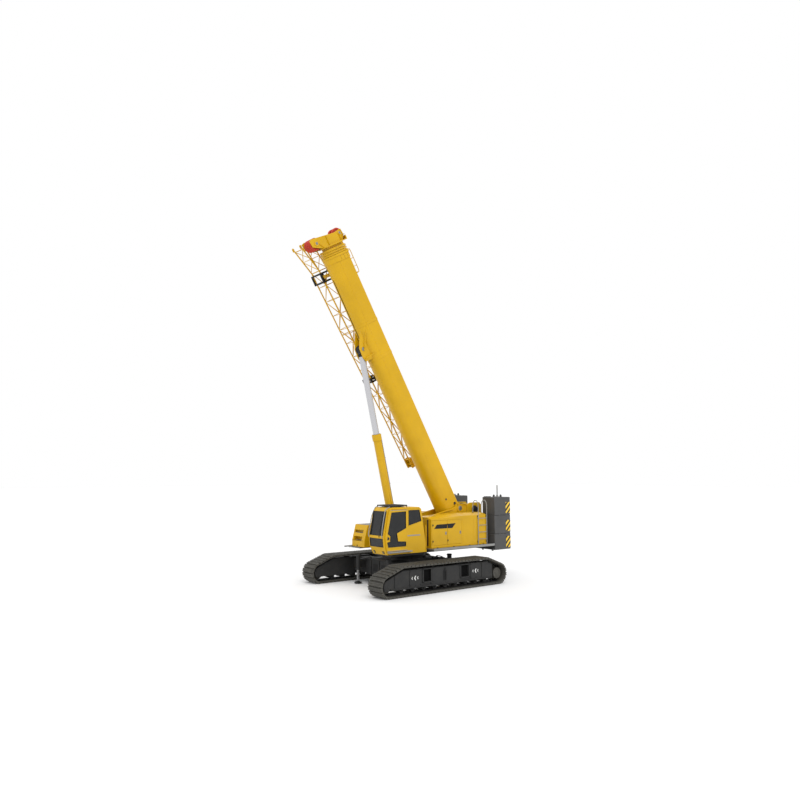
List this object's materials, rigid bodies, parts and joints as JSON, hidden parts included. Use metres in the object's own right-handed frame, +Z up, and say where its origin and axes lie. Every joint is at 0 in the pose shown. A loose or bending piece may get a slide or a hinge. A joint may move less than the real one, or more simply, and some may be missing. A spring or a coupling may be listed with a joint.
{
  "type": "crawler crane",
  "caption": "Crawler crane with telescopic box boom, stowed lattice jib, side cab, stacked counterweight and extending tracks, parked with its boom raised.",
  "frame": {"origin": "on the ground, on the slewing axis midway between the crawlers", "axes": "+X towards the crane's front, +Y towards its left (the cab side), +Z up"},
  "size_m": [10.622, 6.01, 15.8067],
  "materials": {
    "yellow_paint": "semi-gloss",
    "dark_grey_paint": "matt",
    "counterweight_paint": "satin",
    "deck_steel": "worn",
    "track_steel": "worn",
    "cylinder_chrome": "polished",
    "tinted_glass": "clear, dark tint",
    "sheave_red": "satin",
    "seat_black": "matt"
  },
  "bodies": {
    "undercarriage": {"carbody": "dark_grey_paint", "slew_ring": "dark_grey_paint"},
    "left_crawler": {"track_frame_left": "dark_grey_paint", "track_loop_left": "track_steel", "sprocket_left": "dark_grey_paint", "idler_left": "dark_grey_paint"},
    "right_crawler": {"track_frame_right": "dark_grey_paint", "track_loop_right": "track_steel", "sprocket_right": "dark_grey_paint", "idler_right": "dark_grey_paint"},
    "jack_front_left": {"jack_front_left": "track_steel"},
    "jack_front_right": {"jack_front_right": "track_steel"},
    "jack_rear_left": {"jack_rear_left": "track_steel"},
    "jack_rear_right": {"jack_rear_right": "track_steel"},
    "superstructure": {"turntable": "dark_grey_paint", "pivot_frame": "yellow_paint", "deck_left": "deck_steel", "deck_right": "deck_steel", "cab_shell": "yellow_paint", "side_window": "tinted_glass", "right_window": "tinted_glass", "rear_window": "tinted_glass", "windshield": "tinted_glass", "lower_windshield": "tinted_glass", "roof_guard": "dark_grey_paint", "operator_seat": "seat_black", "console": "dark_grey_paint", "hood_left": "yellow_paint", "engine": "dark_grey_paint", "hood_right": "yellow_paint", "step_box": "yellow_paint", "ladder": "deck_steel", "counterweight_base": "counterweight_paint", "counterweight_left_middle": "counterweight_paint", "counterweight_left_top": "counterweight_paint", "counterweight_right_middle": "counterweight_paint", "counterweight_right_top": "counterweight_paint", "winch_frame": "yellow_paint"},
    "cab_door": {"cab_door": "yellow_paint", "door_window": "tinted_glass"},
    "hood_door_1": {"hood_door_1": "yellow_paint"},
    "hood_door_2": {"hood_door_2": "yellow_paint"},
    "winch_drum": {"winch_drum": "dark_grey_paint"},
    "boom_base": {"boom_base": "yellow_paint", "jib": "yellow_paint", "jib_bracket_front": "dark_grey_paint", "jib_bracket_rear": "dark_grey_paint"},
    "boom_section_2": {"boom_section_2": "yellow_paint"},
    "boom_section_3": {"boom_section_3": "yellow_paint"},
    "boom_section_4": {"boom_section_4": "yellow_paint"},
    "boom_section_5": {"boom_section_5": "yellow_paint", "boom_head": "yellow_paint"},
    "upper_sheaves": {"upper_sheaves": "sheave_red"},
    "lower_sheaves": {"lower_sheaves": "sheave_red"},
    "cylinder_rod": {"cylinder_rod": "cylinder_chrome"},
    "cylinder_barrel": {"cylinder_barrel": "yellow_paint"}
  },
  "joints": [
    {"name": "slew", "type": "hinge", "parent": "undercarriage", "child": "superstructure", "pos_m": [0, 0, 1.3], "axis": [0, 0, 1], "continuous": true},
    {"name": "left_gauge", "type": "slide", "parent": "undercarriage", "child": "left_crawler", "axis": [0, -1, 0], "range_m": [0, 0.5]},
    {"name": "right_gauge", "type": "slide", "parent": "undercarriage", "child": "right_crawler", "axis": [0, 1, 0], "range_m": [0, 0.5]},
    {"name": "jack_front_left_slide", "type": "slide", "parent": "undercarriage", "child": "jack_front_left", "axis": [0, 0, -1], "range_m": [-0.3, 0.2]},
    {"name": "jack_front_right_slide", "type": "slide", "parent": "undercarriage", "child": "jack_front_right", "axis": [0, 0, -1], "range_m": [-0.3, 0.2]},
    {"name": "jack_rear_left_slide", "type": "slide", "parent": "undercarriage", "child": "jack_rear_left", "axis": [0, 0, -1], "range_m": [-0.3, 0.2]},
    {"name": "jack_rear_right_slide", "type": "slide", "parent": "undercarriage", "child": "jack_rear_right", "axis": [0, 0, -1], "range_m": [-0.3, 0.2]},
    {"name": "cab_door_slide", "type": "slide", "parent": "superstructure", "child": "cab_door", "axis": [-1, 0, 0], "range_m": [0, 0.74]},
    {"name": "hood_door_1_hinge", "type": "hinge", "parent": "superstructure", "child": "hood_door_1", "pos_m": [-0.321, 1.63, 2.31], "axis": [0, 0, -1], "range_deg": [0, 110]},
    {"name": "hood_door_2_hinge", "type": "hinge", "parent": "superstructure", "child": "hood_door_2", "pos_m": [-1.224, 1.63, 2.31], "axis": [0, 0, -1], "range_deg": [0, 110]},
    {"name": "winch_spin", "type": "hinge", "parent": "superstructure", "child": "winch_drum", "pos_m": [-4.05, 0, 3.22], "axis": [0, 1, 0], "continuous": true},
    {"name": "boom_luff", "type": "hinge", "parent": "superstructure", "child": "boom_base", "pos_m": [-3.05, 0, 3.3], "axis": [0, -1, 0], "range_deg": [-59.6, 20.4]},
    {"name": "telescope_2", "type": "slide", "parent": "boom_base", "child": "boom_section_2", "axis": [0.506, 0, 0.8625], "range_m": [0, 9.4]},
    {"name": "telescope_3", "type": "slide", "parent": "boom_section_2", "child": "boom_section_3", "axis": [0.506, 0, 0.8625], "range_m": [0, 9.4]},
    {"name": "telescope_4", "type": "slide", "parent": "boom_section_3", "child": "boom_section_4", "axis": [0.506, 0, 0.8625], "range_m": [0, 9.4]},
    {"name": "telescope_5", "type": "slide", "parent": "boom_section_4", "child": "boom_section_5", "axis": [0.506, 0, 0.8625], "range_m": [0, 9.4]},
    {"name": "upper_sheaves_spin", "type": "hinge", "parent": "boom_section_5", "child": "upper_sheaves", "pos_m": [3.9557, 0, 15.53735], "axis": [0, 1, 0], "continuous": true},
    {"name": "lower_sheaves_spin", "type": "hinge", "parent": "boom_section_5", "child": "lower_sheaves", "pos_m": [5.11204, 0, 14.80096], "axis": [0, 1, 0], "continuous": true},
    {"name": "cylinder_rod_pin", "type": "hinge", "parent": "boom_base", "child": "cylinder_rod", "pos_m": [2.51644, 0, 10.51519], "axis": [0, -1, 0], "range_deg": [-15.6, 5.4]},
    {"name": "cylinder_stroke", "type": "slide", "parent": "cylinder_rod", "child": "cylinder_barrel", "axis": [-0.2306, 0, -0.973], "range_m": [-3.26, 1.12]}
  ],
  "couplings": [
    {"joint": "telescope_3", "follows": "telescope_2", "ratio": 1},
    {"joint": "telescope_4", "follows": "telescope_2", "ratio": 1},
    {"joint": "telescope_5", "follows": "telescope_2", "ratio": 1},
    {"joint": "cylinder_rod_pin", "follows": "boom_luff", "ratio": 0.26},
    {"joint": "cylinder_stroke", "follows": "boom_luff", "m_per_rad": 3.131}
  ]
}
